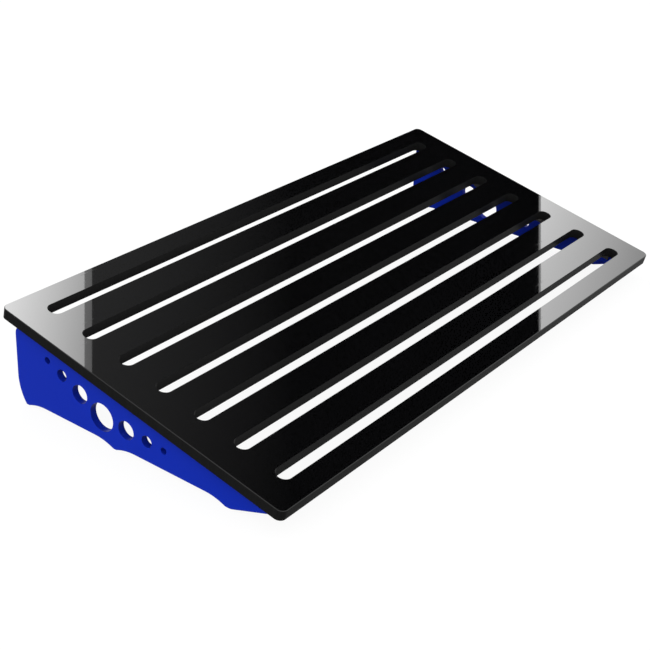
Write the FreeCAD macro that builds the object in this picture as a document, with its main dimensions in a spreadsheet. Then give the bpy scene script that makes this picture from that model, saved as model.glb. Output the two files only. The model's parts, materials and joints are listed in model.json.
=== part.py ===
import FreeCAD, Part
import math
import os

import Sketcher
from FreeCAD import Placement, Rotation, Vector

# Sloping pedalboard: a slotted deck plate standing on two side panels.
#
# Frame: +Z up, +X to the player's right, +Y away from the player, towards the
# raised edge.  Origin: on the floor, midway between the two side panels and
# midway between the deck's front and rear.  Millimetres and degrees.

DIMENSIONS = {
    # deck plate
    "deck_width": 600.0,
    "deck_depth": 300.0,
    "deck_thick": 10.0,
    "deck_tilt": 12.0,
    "deck_corner": 6.0,
    "deck_clear": 15.5,
    "deck_edge_break": 0.5,
    # cable slots across the deck
    "slot_count": 7,
    "slot_width": 14.0,
    "slot_pitch": 41.0,
    "slot_margin": 20.0,
    "slot_inset": 27.0,
    # side panels: heights above the floor, distances behind the deck's front top edge
    "panel_thick": 6.0,
    "panel_inset": 6.0,
    "panel_back": 285.5,
    "panel_corner": 10.0,
    "panel_edge_break": 0.3,
    "heel_height": 26.0,
    "arch_height": 4.3,
    "arch_radius": 50.0,
    "foot_width": 3.0,
    "foot_front": 57.5,
    "foot_middle": 174.5,
    "foot_rear": 275.5,
    "toe_angle": 19.5,
    "toe_radius": 12.0,
    # row of graded holes through each side panel
    "hole_large": 25.0,
    "hole_medium": 16.5,
    "hole_small": 10.5,
    "hole_tiny": 6.0,
    "hole_row_distance": 188.0,
    "hole_row_height": 24.2,
    "hole_medium_step": 26.6,
    "hole_small_step": 48.7,
    "hole_tiny_step": 66.6,
    "hole_front_angle": 2.0,
    "hole_rear_angle": 25.0,
    # angle brackets in the corners under the deck
    "bracket_leg": 12.0,
    "bracket_thick": 1.5,
    "bracket_root": 1.0,
    "bracket_length": 22.0,
    "bracket_first": 45.0,
    "bracket_pitch": 75.0,
    "bracket_count": 4,
    "clear_hole": 3.4,
    "deck_screw_spread": 13.0,
    "deck_screw_offset": 7.5,
    "panel_screw_drop": 7.0,
    # button-head screws and the grooved inserts that they turn into
    "screw_width": 2.9,
    "head_width": 5.6,
    "head_height": 1.6,
    "dome_flat_width": 2.5,
    "dome_shoulder_width": 4.9,
    "dome_shoulder_height": 0.9,
    "socket_width": 2.0,
    "socket_depth": 1.0,
    "deck_screw_length": 6.0,
    "panel_screw_length": 4.8,
    "insert_width": 4.6,
    "insert_bore": 3.0,
    "groove_depth": 0.4,
    "groove_length": 1.0,
    "insert_clearance": 0.1,
    "deck_insert_length": 5.5,
    "panel_insert_length": 4.0,
}

HEX_SIDES = 6
FULL_TURN = 360
SIDES = {"left": -1, "right": 1}
# A bracket's two deck screws sit half their spread either way from its middle.
DECK_SCREW_STEPS = (-0.5, 0.5)
TOLERANCE = 1e-4


def make_sheet(document):
    """Fill the spreadsheet that every sub-part reads its sizes from."""
    table = document.addObject("Spreadsheet::Sheet", "Dimensions")
    for row, (alias, value) in enumerate(DIMENSIONS.items(), start=1):
        table.set("A%d" % row, alias)
        table.set("B%d" % row, str(value))
        table.setAlias("B%d" % row, alias)
    document.recompute()
    return table


doc = FreeCAD.newDocument("pedalboard")
sheet = make_sheet(doc)


def size(alias):
    """The present value of one driving dimension."""
    return float(sheet.get(alias))


def value(expression):
    """The present value of an expression over the spreadsheet's cells."""
    return float(sheet.evalExpression(expression))


# ---------------------------------------------------------------- sketch helpers

def new_body(label):
    body = doc.addObject("PartDesign::Body", label)
    body.Label = label
    return body


def origin_feature(body, role):
    return next(item for item in body.Origin.OriginFeatures if item.Role == role)


def new_sketch(body, name, plane, offset=None):
    """A sketch on one of the body's own origin planes, lifted off it by an expression."""
    sketch = body.newObject("Sketcher::SketchObject", name)
    sketch.AttachmentSupport = (origin_feature(body, plane), "")
    sketch.MapMode = "FlatFace"
    if offset:
        sketch.setExpression("AttachmentOffset.Base.z", offset)
    return sketch


def bind(sketch, expression, *constraint):
    """Add a constraint and tie its value to the spreadsheet."""
    index = sketch.addConstraint(Sketcher.Constraint(*constraint))
    sketch.setExpression("Constraints[%d]" % index, expression)


def place_point(sketch, geometry, point, x, y):
    """Hold one point of a sketch at a place given by two expressions."""
    bind(sketch, x, "DistanceX", -1, 1, geometry, point, value(x))
    if abs(value(y)) < TOLERANCE:
        sketch.addConstraint(Sketcher.Constraint("PointOnObject", geometry, point, -1))
    else:
        bind(sketch, y, "DistanceY", -1, 1, geometry, point, value(y))


def add_circle(sketch, x, y, diameter):
    """A circle held by expressions for its centre and its diameter."""
    circle = Part.Circle(Vector(value(x), value(y), 0), Vector(0, 0, 1), value(diameter) / 2)
    index = sketch.addGeometry(circle)
    bind(sketch, diameter, "Diameter", index, value(diameter))
    place_point(sketch, index, 3, x, y)


class Outline:
    """Chains lines and arcs, whose corners are expressions, into a closed outline."""

    def __init__(self, sketch, x, y):
        self.sketch = sketch
        self.here = (x, y)
        self.ends = []

    def add(self, geometry, x, y, clockwise=False):
        index = self.sketch.addGeometry(geometry)
        first, last = (2, 1) if clockwise else (1, 2)
        place_point(self.sketch, index, first, *self.here)
        if self.ends:
            before = self.ends[-1][2:]
            self.sketch.addConstraint(Sketcher.Constraint("Coincident", *before, index, first))
        self.ends.append((index, first, index, last))
        self.here = (x, y)
        return index

    def corner(self, x, y):
        return Vector(value(x), value(y), 0)

    def line(self, x, y):
        self.add(Part.LineSegment(self.corner(*self.here), self.corner(x, y)), x, y)

    def arc(self, x, y, radius, clockwise=False):
        """The shorter arc of a given radius from the present corner to the next."""
        start, end = self.corner(*self.here), self.corner(x, y)
        if clockwise:
            start, end = end, start
        chord = end - start
        inward = Vector(-chord.y, chord.x, 0).normalize()
        centre = (start + end) / 2 + inward * math.sqrt(value(radius) ** 2 - (chord.Length / 2) ** 2)
        angles = [math.atan2(p.y - centre.y, p.x - centre.x) for p in (start, end)]
        circle = Part.Circle(centre, Vector(0, 0, 1), value(radius))
        index = self.add(Part.ArcOfCircle(circle, *angles), x, y, clockwise)
        bind(self.sketch, radius, "Radius", index, value(radius))

    def close(self):
        first, last = self.ends[0][:2], self.ends[-1][2:]
        self.sketch.addConstraint(Sketcher.Constraint("Coincident", *last, *first))


def add_pad(body, name, sketch, length, reversed_way=False, midplane=False):
    pad = body.newObject("PartDesign::Pad", name)
    pad.Profile = sketch
    pad.Reversed = reversed_way
    pad.Midplane = midplane
    pad.setExpression("Length", length)
    doc.recompute()
    return pad


def add_pocket(body, name, sketch, depth, reversed_way=False):
    """Cut a sketch into the body and make sure that it took material away."""
    before = body.Shape.Volume
    pocket = body.newObject("PartDesign::Pocket", name)
    pocket.Profile = sketch
    pocket.Reversed = reversed_way
    pocket.setExpression("Length", depth)
    doc.recompute()
    if body.Shape.Volume >= before:
        raise RuntimeError("%s cuts nothing from %s" % (name, body.Label))
    return pocket


def dress_edges(body, kind, name, base, amount, wanted):
    """Fillet or chamfer every edge of the base feature for which wanted(edge) holds."""
    names = ["Edge%d" % (i + 1) for i, edge in enumerate(base.Shape.Edges) if wanted(edge)]
    feature = body.newObject("PartDesign::" + kind, name)
    feature.Base = (base, names)
    feature.setExpression("Radius" if kind == "Fillet" else "Size", amount)
    doc.recompute()
    return feature


def lies_at(edge, axis, level):
    """True when the whole edge lies in the plane axis = level."""
    box = edge.BoundBox
    low, high = getattr(box, axis + "Min"), getattr(box, axis + "Max")
    return abs(low - level) < TOLERANCE and abs(high - level) < TOLERANCE


# ---------------------------------------------------------------- deck plate

# The deck's own frame has its top face at z = 0, its front edge at y = 0 and
# x = 0 midway across; the placement then leans it back onto the side panels.
TILT = math.radians(size("deck_tilt"))
DECK_TOP_FRONT = size("deck_clear") + size("deck_thick") * math.cos(TILT)
DECK_SPAN = size("deck_depth") * math.cos(TILT) + size("deck_thick") * math.sin(TILT)
FRONT_Y = -DECK_SPAN / 2
DECK_PLACE = Placement(
    Vector(0, FRONT_Y, DECK_TOP_FRONT), Rotation(Vector(1, 0, 0), size("deck_tilt"))
)


CORNER_ACROSS = ("(Dimensions.deck_width / 2 - Dimensions.panel_inset"
                 " - Dimensions.panel_thick)")
DECK_SCREW_ACROSS = "(%s - Dimensions.deck_screw_offset)" % CORNER_ACROSS
INSERT_BORE = "Dimensions.insert_width + 2 * Dimensions.insert_clearance"


def bracket_along(i):
    """Distance of a bracket's middle behind the deck's front edge, as an expression."""
    return "(Dimensions.bracket_first + %d * Dimensions.bracket_pitch)" % i


def deck_outline(body):
    sketch = new_sketch(body, "deck_outline", "XY_Plane")
    left, right = "-Dimensions.deck_width / 2", "Dimensions.deck_width / 2"
    outline = Outline(sketch, left, "0")
    outline.line(right, "0")
    outline.line(right, "Dimensions.deck_depth")
    outline.line(left, "Dimensions.deck_depth")
    outline.line(left, "0")
    outline.close()
    return sketch


def slot_outline(body):
    """The slot nearest the player: two straight sides and two half-round ends."""
    radius = size("slot_width") / 2
    reach = size("deck_width") / 2 - size("slot_inset") - radius
    low = size("slot_margin")
    middle = low + radius
    up = Vector(0, 0, 1)
    sketch = new_sketch(body, "slot_outline", "XY_Plane")
    sketch.addGeometry(Part.LineSegment(Vector(-reach, low, 0), Vector(reach, low, 0)))
    sketch.addGeometry(Part.ArcOfCircle(
        Part.Circle(Vector(reach, middle, 0), up, radius), -math.pi / 2, math.pi / 2))
    sketch.addGeometry(Part.LineSegment(
        Vector(reach, low + 2 * radius, 0), Vector(-reach, low + 2 * radius, 0)))
    sketch.addGeometry(Part.ArcOfCircle(
        Part.Circle(Vector(-reach, middle, 0), up, radius), math.pi / 2, 3 * math.pi / 2))
    for i in range(sketch.GeometryCount):
        following = (i + 1) % sketch.GeometryCount
        sketch.addConstraint(Sketcher.Constraint("Tangent", i, 2, following, 1))
    sketch.addConstraint(Sketcher.Constraint("Symmetric", 0, 1, 0, 2, -2))
    sketch.addConstraint(Sketcher.Constraint("Horizontal", 2))
    bind(sketch, "Dimensions.slot_margin", "DistanceY", -1, 1, 0, 1, low)
    bind(sketch, "Dimensions.slot_width", "DistanceY", 0, 2, 2, 1, 2 * radius)
    bind(sketch, "Dimensions.deck_width - 2 * Dimensions.slot_inset - Dimensions.slot_width",
         "DistanceX", 0, 1, 0, 2, 2 * reach)
    return sketch


def deck_insert_holes(body):
    """Blind holes in the underside, two over each bracket."""
    sketch = new_sketch(body, "deck_insert_holes", "XY_Plane", "-Dimensions.deck_thick")
    for side in SIDES.values():
        for i in range(int(size("bracket_count"))):
            for step in DECK_SCREW_STEPS:
                along = "%s + %.1f * Dimensions.deck_screw_spread" % (bracket_along(i), step)
                add_circle(sketch, "%d * %s" % (side, DECK_SCREW_ACROSS), along, INSERT_BORE)
    return sketch


def make_deck():
    body = new_body("deck_plate")
    pad = add_pad(body, "deck_slab", deck_outline(body), "Dimensions.deck_thick", True)
    rounded = dress_edges(body, "Fillet", "deck_corners", pad, "Dimensions.deck_corner",
                          lambda edge: edge.BoundBox.ZLength > TOLERANCE)
    dress_edges(body, "Chamfer", "deck_edge_break", rounded, "Dimensions.deck_edge_break",
                lambda edge: lies_at(edge, "Z", 0) or lies_at(edge, "Z", -size("deck_thick")))
    slot = add_pocket(body, "slot_cut", slot_outline(body), "Dimensions.deck_thick")
    slots = body.newObject("PartDesign::LinearPattern", "slot_row")
    slots.Originals = [slot]
    slots.Direction = (origin_feature(body, "Y_Axis"), [""])
    slots.setExpression("Length", "(Dimensions.slot_count - 1) * Dimensions.slot_pitch")
    slots.setExpression("Occurrences", "Dimensions.slot_count")
    body.Tip = slots
    doc.recompute()
    add_pocket(body, "deck_insert_bores", deck_insert_holes(body),
               "Dimensions.deck_insert_length + 2 * Dimensions.insert_clearance", True)
    body.Placement = DECK_PLACE
    return body


# ---------------------------------------------------------------- side panels

# A panel's own frame runs from x = 0 to its thickness, with y measured back from
# the deck's front top edge and z up from the floor.  The outer face is the one at
# x = 0 on the left panel and the one at x = thickness on the right panel.
TILT_COS = "cos(Dimensions.deck_tilt * 1deg)"
TILT_SIN = "sin(Dimensions.deck_tilt * 1deg)"
TILT_TAN = "tan(Dimensions.deck_tilt * 1deg)"
TOE_TAN = "tan(Dimensions.toe_angle * 1deg)"
HALF_FOOT = "Dimensions.foot_width / 2"
FLANK_RUN = "sqrt(Dimensions.arch_radius^2 - (Dimensions.arch_radius - Dimensions.arch_height)^2)"
HEEL_RUN = "(Dimensions.panel_back - Dimensions.foot_rear - %s)" % HALF_FOOT
HEEL_RADIUS = "(%s^2 + Dimensions.heel_height^2) / (2 * %s)" % (HEEL_RUN, HEEL_RUN)


def underside_height(y):
    """Height of the deck's underside above the floor at distance y."""
    return ("Dimensions.deck_clear + (%s - Dimensions.deck_thick * %s) * %s"
            % (y, TILT_SIN, TILT_TAN))


def panel_outline(body):
    """Straight top under the deck, sloping toe, three feet and a rounded heel."""
    toe_floor = "(Dimensions.foot_front - %s)" % HALF_FOOT
    toe_hit = ("(%s - Dimensions.toe_radius * tan(Dimensions.toe_angle / 2 * 1deg))" % toe_floor)
    toe_reach = "Dimensions.toe_radius * sin(Dimensions.toe_angle * 1deg)"
    toe_lift = "Dimensions.toe_radius * (1 - cos(Dimensions.toe_angle * 1deg))"
    toe_top = ("(%s * %s - Dimensions.deck_clear + Dimensions.deck_thick * %s * %s) / (%s + %s)"
               % (toe_hit, TOE_TAN, TILT_SIN, TILT_TAN, TOE_TAN, TILT_TAN))
    sketch = new_sketch(body, "panel_outline", "YZ_Plane")
    outline = Outline(sketch, toe_top, underside_height("(%s)" % toe_top))
    outline.line("%s - %s" % (toe_floor, toe_reach), toe_lift)
    outline.arc(toe_floor, "0", "Dimensions.toe_radius")
    for foot, next_foot in (("front", "middle"), ("middle", "rear")):
        leave = "Dimensions.foot_%s + %s" % (foot, HALF_FOOT)
        land = "Dimensions.foot_%s - %s" % (next_foot, HALF_FOOT)
        outline.line(leave, "0")
        outline.arc("%s + %s" % (leave, FLANK_RUN), "Dimensions.arch_height",
                    "Dimensions.arch_radius", clockwise=True)
        outline.line("%s - %s" % (land, FLANK_RUN), "Dimensions.arch_height")
        outline.arc(land, "0", "Dimensions.arch_radius", clockwise=True)
    outline.line("Dimensions.foot_rear + %s" % HALF_FOOT, "0")
    outline.arc("Dimensions.panel_back", "Dimensions.heel_height", HEEL_RADIUS)
    outline.line("Dimensions.panel_back", underside_height("Dimensions.panel_back"))
    outline.line(toe_top, underside_height("(%s)" % toe_top))
    outline.close()
    return sketch


def graded_holes(body):
    """Seven holes: the largest in the middle, smaller ones along two arms."""
    centre_y, centre_z = "Dimensions.hole_row_distance", "Dimensions.hole_row_height"
    sketch = new_sketch(body, "graded_holes", "YZ_Plane")
    add_circle(sketch, centre_y, centre_z, "Dimensions.hole_large")
    for arm, way in (("front", -1), ("rear", 1)):
        angle = "Dimensions.hole_%s_angle * 1deg" % arm
        for grade in ("medium", "small", "tiny"):
            step = "%d * Dimensions.hole_%s_step" % (way, grade)
            add_circle(sketch, "%s + %s * cos(%s)" % (centre_y, step, angle),
                       "%s + %s * sin(%s)" % (centre_z, step, angle),
                       "Dimensions.hole_%s" % grade)
    return sketch


def panel_insert_holes(body, inner_face):
    """Blind holes in the inner face, one behind each bracket."""
    sketch = new_sketch(body, "panel_insert_holes", "YZ_Plane", inner_face)
    drop = "(Dimensions.deck_thick + Dimensions.panel_screw_drop)"
    top = "Dimensions.deck_clear + Dimensions.deck_thick * %s" % TILT_COS
    for i in range(int(size("bracket_count"))):
        along = bracket_along(i)
        add_circle(sketch, "%s * %s + %s * %s" % (along, TILT_COS, drop, TILT_SIN),
                   "%s + %s * %s - %s * %s" % (top, along, TILT_SIN, drop, TILT_COS),
                   INSERT_BORE)
    return sketch


def make_side_panel(name, side):
    body = new_body("%s_side_panel" % name)
    slab = add_pad(body, "%s_panel_slab" % name, panel_outline(body), "Dimensions.panel_thick")
    back, top = size("panel_back"), value(underside_height("Dimensions.panel_back"))
    rounded = dress_edges(
        body, "Fillet", "%s_panel_corner" % name, slab, "Dimensions.panel_corner",
        lambda edge: lies_at(edge, "Y", back) and lies_at(edge, "Z", top))
    dress_edges(body, "Chamfer", "%s_panel_edge_break" % name, rounded,
                "Dimensions.panel_edge_break",
                lambda edge: edge.BoundBox.XLength < TOLERANCE and not on_underside(edge))
    add_pocket(body, "%s_graded_cut" % name, graded_holes(body), "Dimensions.panel_thick", True)
    inner_face = "Dimensions.panel_thick" if side < 0 else "0"
    add_pocket(body, "%s_insert_bores" % name, panel_insert_holes(body, inner_face),
               "Dimensions.panel_insert_length + 2 * Dimensions.insert_clearance", side > 0)
    outer = size("deck_width") / 2 - size("panel_inset")
    start = -outer if side < 0 else outer - size("panel_thick")
    body.Placement.Base = Vector(start, FRONT_Y, 0)
    return body


def on_underside(edge):
    """True for the long straight edges that bear against the deck."""
    ends = [vertex.Point for vertex in edge.Vertexes]
    gaps = [abs(point.z - value(underside_height("(%.9f)" % point.y))) for point in ends]
    return max(gaps) < TOLERANCE


# ---------------------------------------------------------------- angle brackets

def bracket_profile(body):
    """An equal angle: one leg under the deck, one leg down the panel."""
    leg, thick = "Dimensions.bracket_leg", "Dimensions.bracket_thick"
    sketch = new_sketch(body, "bracket_profile", "XZ_Plane")
    outline = Outline(sketch, "0", "0")
    for x, y in ((leg, "0"), (leg, "-" + thick), (thick, "-" + thick),
                 (thick, "-" + leg), ("0", "-" + leg), ("0", "0")):
        outline.line(x, y)
    outline.close()
    return sketch


def make_bracket(name, place):
    """One bracket, its corner at its own origin, legs along +x and -z."""
    body = new_body(name)
    angle = add_pad(body, name + "_angle", bracket_profile(body),
                    "Dimensions.bracket_length", midplane=True)
    thick = size("bracket_thick")
    dress_edges(body, "Fillet", name + "_root", angle, "Dimensions.bracket_root",
                lambda edge: lies_at(edge, "X", thick) and lies_at(edge, "Z", -thick))
    deck_holes = new_sketch(body, name + "_deck_holes", "XY_Plane")
    for step in DECK_SCREW_STEPS:
        add_circle(deck_holes, "Dimensions.deck_screw_offset",
                   "%.1f * Dimensions.deck_screw_spread" % step, "Dimensions.clear_hole")
    add_pocket(body, name + "_deck_bores", deck_holes, "Dimensions.bracket_thick")
    panel_hole = new_sketch(body, name + "_panel_hole", "YZ_Plane")
    add_circle(panel_hole, "0", "-Dimensions.panel_screw_drop", "Dimensions.clear_hole")
    add_pocket(body, name + "_panel_bore", panel_hole, "Dimensions.bracket_thick", True)
    body.Placement = place
    return body


def corner_place(side, i):
    """Where a bracket's corner goes: under the deck, against a panel's inner face."""
    turn = Rotation(Vector(0, 0, 1), 0 if side < 0 else 180)
    corner = Vector(side * value(CORNER_ACROSS), value(bracket_along(i)), -size("deck_thick"))
    return DECK_PLACE * Placement(corner, turn)


# ---------------------------------------------------------------- screws and inserts

def make_screw(length):
    """Button-head screw, the underside of its head at the origin, shank along +z."""
    height = size("head_height")
    seat, crown = Vector(0, 0, 0), Vector(0, 0, -height)
    rim = Vector(size("head_width") / 2, 0, 0)
    shoulder = Vector(size("dome_shoulder_width") / 2, 0, -size("dome_shoulder_height"))
    dome_top = Vector(size("dome_flat_width") / 2, 0, -height)
    edges = [
        Part.LineSegment(seat, rim).toShape(),
        Part.Arc(rim, shoulder, dome_top).toShape(),
        Part.LineSegment(dome_top, crown).toShape(),
        Part.LineSegment(crown, seat).toShape(),
    ]
    head = Part.Face(Part.Wire(edges)).revolve(seat, Vector(0, 0, 1), FULL_TURN)
    shank = Part.makeCylinder(size("screw_width") / 2, length)
    hex_radius = size("socket_width") / math.sqrt(3)
    corners = [
        Vector(hex_radius * math.cos(angle), hex_radius * math.sin(angle), -height)
        for angle in (i * 2 * math.pi / HEX_SIDES for i in range(HEX_SIDES))
    ]
    outline = Part.makePolygon(corners + corners[:1])
    socket = Part.Face(outline).extrude(Vector(0, 0, size("socket_depth")))
    return head.fuse(shank).cut(socket).removeSplitter()


def make_insert(length):
    """Threaded insert, its mouth at the origin, body along +z, grooved round the middle."""
    radius, groove = size("insert_width") / 2, size("groove_length")
    body = Part.makeCylinder(radius, length)
    groove_start = Vector(0, 0, (length - groove) / 2)
    ring = Part.makeCylinder(radius, groove, groove_start)
    core = Part.makeCylinder(radius - size("groove_depth"), groove, groove_start)
    bore = Part.makeCylinder(size("insert_bore") / 2, length)
    return body.cut(ring.cut(core)).cut(bore)


def deck_places(corner, depth):
    """Where the two deck fasteners at a bracket's corner go, depth above the joint."""
    spots = [Vector(size("deck_screw_offset"), step * size("deck_screw_spread"), depth)
             for step in DECK_SCREW_STEPS]
    return [corner * Placement(spot, Rotation()) for spot in spots]


def panel_places(corner, depth):
    """Where the panel fastener at a bracket's corner goes, depth beyond the joint."""
    spot = Vector(-depth, 0, -size("panel_screw_drop"))
    return [corner * Placement(spot, Rotation(Vector(0, 1, 0), -90))]


def make_fasteners(label, shape, places):
    """One fastener, or several identical ones as separate solids, in one named object."""
    solids = []
    for place in places:
        solid = shape.copy()
        solid.Placement = place * solid.Placement
        solids.append(solid)
    group = doc.addObject("Part::Feature", label)
    group.Label = label
    group.Shape = Part.makeCompound(solids)
    return group


def make_joint(bracket, corner):
    """A bracket with the screws through it and the inserts that they turn into."""
    seat, mouth = -size("bracket_thick"), size("insert_clearance")
    deck_screw, deck_insert = (make_screw(size("deck_screw_length")),
                               make_insert(size("deck_insert_length")))
    panel_screw, panel_insert = (make_screw(size("panel_screw_length")),
                                 make_insert(size("panel_insert_length")))
    return [
        make_bracket(bracket, corner),
        make_fasteners(bracket + "_deck_screws", deck_screw, deck_places(corner, seat)),
        make_fasteners(bracket + "_deck_inserts", deck_insert, deck_places(corner, mouth)),
        make_fasteners(bracket + "_panel_screw", panel_screw, panel_places(corner, seat)),
        make_fasteners(bracket + "_panel_insert", panel_insert, panel_places(corner, mouth)),
    ]


# ---------------------------------------------------------------- assembly

def build():
    parts = [make_deck()]
    for name, side in SIDES.items():
        parts.append(make_side_panel(name, side))
        for i in range(int(size("bracket_count"))):
            parts += make_joint("%s_bracket_%d" % (name, i + 1), corner_place(side, i))
    return parts


def check(parts):
    """Stop if any feature failed or any sub-part's shape is missing or broken."""
    doc.recompute()
    for item in doc.Objects:
        if "Invalid" in item.State or "Error" in item.State:
            raise RuntimeError("%s failed: %s" % (item.Label, item.State))
    for part in parts:
        if part.Shape.isNull() or not part.Shape.isValid() or not part.Shape.Solids:
            raise RuntimeError("%s has no valid solid" % part.Label)


def export(parts):
    os.makedirs("parts", exist_ok=True)
    for part in parts:
        part.Shape.exportStep("parts/%s.step" % part.Label)
        print("%-30s %d solid(s) %12.1f mm3"
              % (part.Label, len(part.Shape.Solids), part.Shape.Volume))


all_parts = build()
check(all_parts)
export(all_parts)
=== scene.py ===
import json
import math

import bpy
from mathutils import Matrix, Vector

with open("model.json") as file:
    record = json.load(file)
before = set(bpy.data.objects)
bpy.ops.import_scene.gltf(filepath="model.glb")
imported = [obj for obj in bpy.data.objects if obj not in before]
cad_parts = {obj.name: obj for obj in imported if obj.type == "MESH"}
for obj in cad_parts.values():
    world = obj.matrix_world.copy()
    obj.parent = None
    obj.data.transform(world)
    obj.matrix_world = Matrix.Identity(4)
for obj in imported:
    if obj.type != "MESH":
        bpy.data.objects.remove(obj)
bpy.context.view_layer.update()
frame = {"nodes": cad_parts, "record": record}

MM = 0.001

# The deck's top plane, as the record's mount gives it.
DECK_TOP = next(mount for mount in frame["record"]["mounts"] if mount["name"] == "deck_top")
DECK_POINT = Vector(DECK_TOP["pos_m"])
DECK_NORMAL = Vector(DECK_TOP["axis"])

# Camera: its azimuth is measured from +Y towards +X.
VIEW_FROM = Vector((-910.7, -616.9, 586.1)) * MM
VIEW_AZIMUTH = math.radians(54.13)
VIEW_DOWN = math.radians(27.9)
VIEW_ROLL = math.radians(3.28)
SENSOR = 36.0
LENS = 73.6
CARD_DISTANCE = 3.0
CARD_REACH = (-0.1, 1.1)
FLOOR_SIZE = 14.0


# ---------------------------------------------------------------- materials

class Shader:
    """A node material with short calls for the nodes used here."""

    def __init__(self, name):
        self.material = bpy.data.materials.new(name)
        self.material.use_nodes = True
        self.tree = self.material.node_tree
        self.bsdf = self.tree.nodes["Principled BSDF"]

    def node(self, kind, **values):
        made = self.tree.nodes.new("ShaderNode" + kind)
        for name, value in values.items():
            setattr(made, name, value)
        return made

    def link(self, source, target):
        self.tree.links.new(source, target)

    def place(self):
        """Position on the part at rest, in metres."""
        return self.node("TexCoord").outputs["Object"]

    def mapping(self, scale, turn=(0, 0, 0)):
        made = self.node("Mapping")
        self.link(self.place(), made.inputs["Vector"])
        made.inputs["Rotation"].default_value = turn
        made.inputs["Scale"].default_value = scale
        return made.outputs["Vector"]

    def noise(self, vector, scale, detail=4.0, roughness=0.5):
        made = self.node("TexNoise")
        self.link(vector, made.inputs["Vector"])
        made.inputs["Scale"].default_value = scale
        made.inputs["Detail"].default_value = detail
        made.inputs["Roughness"].default_value = roughness
        return made.outputs["Fac"]

    def ramp(self, factor, low, high, values):
        """A factor running from low to high, turned into a value running between two."""
        made = self.node("MapRange")
        self.link(factor, made.inputs["Value"])
        made.inputs["From Min"].default_value = low
        made.inputs["From Max"].default_value = high
        made.inputs["To Min"].default_value = values[0]
        made.inputs["To Max"].default_value = values[1]
        return made.outputs["Result"]

    def math(self, operation, first, second):
        made = self.node("Math", operation=operation)
        for socket, value in zip(made.inputs, (first, second)):
            if isinstance(value, (int, float)):
                socket.default_value = value
            else:
                self.link(value, socket)
        return made.outputs["Value"]

    def mix_colour(self, factor, first, second):
        made = self.node("Mix", data_type="RGBA")
        self.link(factor, made.inputs["Factor"])
        for socket, value in zip((made.inputs[6], made.inputs[7]), (first, second)):
            if isinstance(value, tuple):
                socket.default_value = (*value, 1.0)
            else:
                self.link(value, socket)
        return made.outputs[2]

    def mix_value(self, factor, first, second):
        made = self.node("Mix")
        self.link(factor, made.inputs[0])
        self.link(first, made.inputs[2])
        self.link(second, made.inputs[3])
        return made.outputs[0]

    def bump(self, height, distance, strength=1.0, after=None):
        made = self.node("Bump")
        self.link(height, made.inputs["Height"])
        made.inputs["Distance"].default_value = distance
        made.inputs["Strength"].default_value = strength
        if after:
            self.link(after, made.inputs["Normal"])
        return made.outputs["Normal"]

    def facing(self, direction):
        """How squarely the true surface faces a fixed direction, from -1 to 1."""
        geometry = self.node("NewGeometry")
        dot = self.node("VectorMath", operation="DOT_PRODUCT")
        self.link(geometry.outputs["True Normal"], dot.inputs[0])
        dot.inputs[1].default_value = direction
        return dot.outputs["Value"]

    def set(self, **values):
        for name, value in values.items():
            self.bsdf.inputs[name.replace("_", " ")].default_value = value


def hairlines(shader, turn):
    """Sparse fine scratches left by wiping, long in one direction."""
    lines = shader.noise(shader.mapping((4.0, 900.0, 900.0), turn), 1.0, 2.0)
    return shader.ramp(lines, 0.68, 0.80, (0.0, 1.0))


def acrylic(name, normal, arris, face, edge, polish, cut):
    """Cast acrylic sheet: polished faces, and satin edges striped by the cutter.

    normal is the way the upper face looks, and arris how far from it the polish still reaches.
    face and edge are pairs of colours, polish and cut are (roughness, specular level) pairs.
    """
    shader = Shader(name)
    facing = shader.facing(normal)
    is_upper = shader.ramp(facing, arris, arris + 0.07, (0.0, 1.0))
    is_lower = shader.ramp(facing, -0.97, -0.90, (1.0, 0.0))
    is_face = shader.math("MAXIMUM", is_upper, is_lower)
    cloud = shader.noise(shader.mapping((1, 1, 1)), 9.0, 3.0)
    grain = shader.noise(shader.mapping((1, 1, 1)), 1400.0, 2.0)
    striae = shader.noise(shader.mapping((900.0, 900.0, 6.0)), 1.0, 2.0)
    scratches = shader.math("MAXIMUM", hairlines(shader, (0, 0, 0.35)),
                            hairlines(shader, (0.2, 0, -0.9)))
    smudges = shader.noise(shader.mapping((1, 1.6, 1)), 14.0, 5.0, 0.6)

    colour = shader.mix_colour(is_face, shader.mix_colour(striae, *edge),
                               shader.mix_colour(cloud, *face))
    shader.link(colour, shader.bsdf.inputs["Base Color"])

    wear = shader.math("ADD", shader.ramp(smudges, 0.45, 0.75, (0.0, 0.02)),
                       shader.math("MULTIPLY", scratches, 0.04))
    face_rough = shader.math("ADD", wear, polish[0])
    edge_rough = shader.ramp(grain, 0.3, 0.7, (cut[0] * 0.8, cut[0] * 1.2))
    shader.link(shader.mix_value(is_face, edge_rough, face_rough), shader.bsdf.inputs["Roughness"])
    specular = shader.ramp(is_face, 0.0, 1.0, (cut[1], polish[1]))
    shader.link(specular, shader.bsdf.inputs["Specular IOR Level"])

    cut_height = shader.math("MULTIPLY", striae, shader.math("SUBTRACT", 1.0, is_face))
    surface = shader.bump(scratches, 0.000003, 0.4)
    shader.link(shader.bump(cut_height, 0.00005, 0.6, surface), shader.bsdf.inputs["Normal"])
    return shader


def black_acrylic():
    """The deck's sheet, whose upper arris is polished too."""
    shader = acrylic("black_acrylic", DECK_NORMAL, arris=0.68,
                     face=((0.0008, 0.0008, 0.0009), (0.0016, 0.0016, 0.0018)),
                     edge=((0.006, 0.006, 0.006), (0.012, 0.012, 0.012)),
                     polish=(0.012, 0.5), cut=(0.22, 0.006))
    shader.set(IOR=1.5)
    return shader.material


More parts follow.
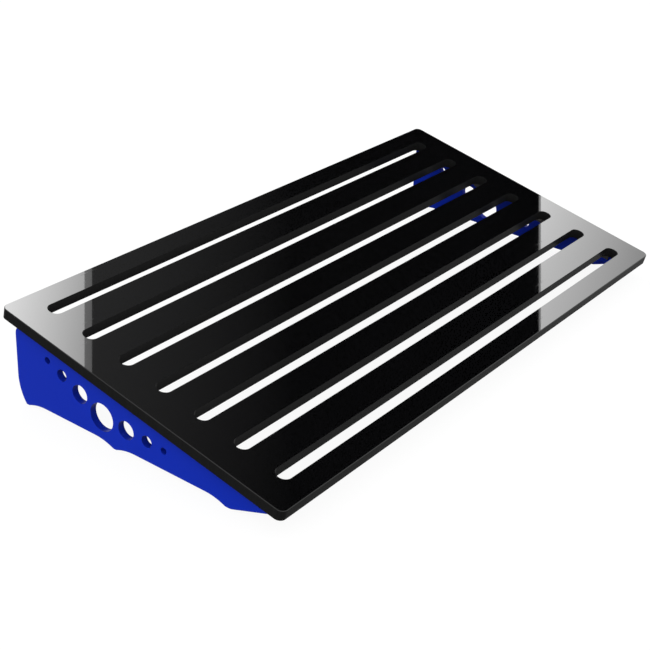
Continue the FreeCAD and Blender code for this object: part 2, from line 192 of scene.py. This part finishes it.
def blue_acrylic():
    """The side panels' sheet, softer than the deck's."""
    shader = acrylic("blue_acrylic", (1, 0, 0), arris=0.90,
                     face=((0.0020, 0.0190, 0.365), (0.0040, 0.0240, 0.415)),
                     edge=((0.002, 0.008, 0.17), (0.005, 0.018, 0.30)),
                     polish=(0.10, 0.025), cut=(0.30, 0.02))
    shader.set(IOR=1.49)
    return shader.material


def anodised():
    """Black anodised aluminium angle with a drawn grain along its length."""
    shader = Shader("black_anodised")
    grain = shader.noise(shader.mapping((1500.0, 40.0, 1500.0)), 1.0, 3.0)
    colour = shader.mix_colour(grain, (0.007, 0.007, 0.008), (0.018, 0.018, 0.019))
    shader.link(colour, shader.bsdf.inputs["Base Color"])
    shader.link(shader.ramp(grain, 0.3, 0.7, (0.28, 0.45)), shader.bsdf.inputs["Roughness"])
    shader.link(shader.bump(grain, 0.00001, 0.5), shader.bsdf.inputs["Normal"])
    shader.set(Metallic=0.85)
    return shader.material


def black_oxide():
    """Oiled black-oxide steel, mottled, a little browner where the finish is thin."""
    shader = Shader("black_oxide_steel")
    mottle = shader.noise(shader.mapping((1, 1, 1)), 700.0, 4.0, 0.6)
    colour = shader.mix_colour(mottle, (0.020, 0.020, 0.022), (0.075, 0.066, 0.058))
    shader.link(colour, shader.bsdf.inputs["Base Color"])
    shader.link(shader.ramp(mottle, 0.3, 0.7, (0.25, 0.42)), shader.bsdf.inputs["Roughness"])
    shader.set(Metallic=1.0)
    return shader.material


def turned_brass():
    """Bare brass with fine lathe rings and slight tarnish."""
    shader = Shader("turned_brass")
    rings = shader.noise(shader.mapping((90.0, 90.0, 5000.0)), 1.0, 2.0)
    tarnish = shader.noise(shader.mapping((1, 1, 1)), 260.0, 4.0)
    colour = shader.mix_colour(tarnish, (0.74, 0.55, 0.24), (0.52, 0.36, 0.14))
    shader.link(colour, shader.bsdf.inputs["Base Color"])
    shader.link(shader.ramp(rings, 0.3, 0.7, (0.18, 0.32)), shader.bsdf.inputs["Roughness"])
    shader.link(shader.bump(rings, 0.00001, 0.6), shader.bsdf.inputs["Normal"])
    shader.set(Metallic=1.0)
    return shader.material


def dress(slot_materials):
    """Give every CAD node the material of its slot in the record."""
    for row in frame["record"]["subparts"]:
        node = frame["nodes"][row["node"]]
        node.data.materials.clear()
        node.data.materials.append(slot_materials[row["material_slot"]])


# ---------------------------------------------------------------- camera, floor and lights

def view_axes():
    """Right, up and back axes of the camera in the row frame."""
    ahead = Vector((math.sin(VIEW_AZIMUTH) * math.cos(VIEW_DOWN),
                    math.cos(VIEW_AZIMUTH) * math.cos(VIEW_DOWN), -math.sin(VIEW_DOWN)))
    level = ahead.cross(Vector((0, 0, 1))).normalized()
    right = Matrix.Rotation(-VIEW_ROLL, 3, ahead) @ level
    return right, right.cross(ahead), -ahead


def add_camera():
    """The camera at its own place, angle and roll."""
    camera = bpy.data.objects.new("camera", bpy.data.cameras.new("camera"))
    bpy.context.scene.collection.objects.link(camera)
    camera.matrix_world = Matrix.Translation(VIEW_FROM) @ Matrix(view_axes()).transposed().to_4x4()
    camera.data.sensor_width = SENSOR
    camera.data.lens = LENS
    camera.data.clip_start = 0.01
    camera.data.clip_end = 50.0
    bpy.context.scene.camera = camera


def mirrored(vector, point=False):
    """A direction, or a point, mirrored in the plane of the deck's top face."""
    height = DECK_NORMAL.dot(vector - DECK_POINT if point else vector)
    return vector - 2 * height * DECK_NORMAL


def flat(name, width, depth, place):
    """A stage rectangle in its own XY plane, centred on its place."""
    x, y = width / 2, depth / 2
    mesh = bpy.data.meshes.new(name)
    mesh.from_pydata([(-x, -y, 0), (x, -y, 0), (x, y, 0), (-x, y, 0)], [], [(0, 1, 2, 3)])
    made = bpy.data.objects.new(name, mesh)
    bpy.context.scene.collection.objects.link(made)
    made.matrix_world = place
    return made


def glow(name, near, far):
    """An emission material graded along its object's own X, from near to far."""
    shader = Shader(name)
    spread = shader.node("SeparateXYZ")
    shader.link(shader.node("TexCoord").outputs["Generated"], spread.inputs["Vector"])
    shader.set(Base_Color=(0, 0, 0, 1), Specular_IOR_Level=0.0, Roughness=1.0,
               Emission_Color=(1, 1, 1, 1))
    strength = shader.ramp(spread.outputs["X"], 0.0, 1.0, (near, far))
    shader.link(strength, shader.bsdf.inputs["Emission Strength"])
    return shader.material


def add_card(name, across, radiance):
    """A card the camera sees only in the deck.

    across is its span in shares of the picture's width, and radiance its glow at either end.
    """
    right, up, back = (mirrored(axis) for axis in view_axes())
    reach = CARD_DISTANCE * SENSOR / LENS
    width, height = ((high - low) * reach for low, high in (across, CARD_REACH))
    shift_x, shift_y = ((low + high - 1) / 2 * reach for low, high in (across, CARD_REACH))
    centre = (mirrored(VIEW_FROM, point=True) - back * CARD_DISTANCE
              + right * shift_x + up * shift_y)
    turn = Matrix((right, up, -back)).transposed().to_4x4()
    card = flat(name, width, height, Matrix.Translation(centre) @ turn)
    card.data.materials.append(glow(name, *radiance))
    card.visible_camera = False


def add_floor():
    """A glowing white table top, and a dim sheet in its place for the light it would bounce."""
    table = Shader("light_table")
    table.set(Base_Color=(0.06, 0.06, 0.06, 1), Roughness=0.9, Specular_IOR_Level=0.0,
              Emission_Color=(1, 1, 1, 1), Emission_Strength=0.92)
    floor = flat("floor", FLOOR_SIZE, FLOOR_SIZE, Matrix())
    floor.data.materials.append(table.material)
    floor.visible_diffuse = False
    sheet = Shader("underlay")
    sheet.set(Base_Color=(0.05, 0.05, 0.05, 1), Roughness=1.0, Specular_IOR_Level=0.0)
    underlay = flat("underlay", FLOOR_SIZE, FLOOR_SIZE, Matrix.Translation((0, 0, -MM)))
    underlay.data.materials.append(sheet.material)
    underlay.visible_camera = False
    underlay.visible_glossy = False


def add_world():
    """Even white light from all round."""
    world = bpy.data.worlds.new("studio")
    world.use_nodes = True
    background = world.node_tree.nodes["Background"]
    background.inputs["Color"].default_value = (1.0, 1.0, 1.0, 1.0)
    background.inputs["Strength"].default_value = 1.95
    bpy.context.scene.world = world


def add_lights():
    """A white room round the board, with a dark flag between two bright cards over it."""
    add_world()
    add_floor()
    add_card("left_card", (-0.10, 0.130), (15.4, 5.2))
    add_card("left_rim", (0.130, 0.1415), (1.8, 1.5))
    add_card("left_flag", (0.1415, 0.45), (0.26, 0.01))
    add_card("right_flag", (0.45, 0.829), (0.01, 0.0))
    add_card("right_rim", (0.829, 0.832), (1.6, 1.6))
    add_card("right_card", (0.832, 1.05), (5.4, 1.25))


# ---------------------------------------------------------------- the scene

dress({
    "deck": black_acrylic(),
    "panel": blue_acrylic(),
    "bracket": anodised(),
    "screw": black_oxide(),
    "insert": turned_brass(),
})
add_lights()
add_camera()
bpy.context.scene.view_settings.view_transform = "Standard"
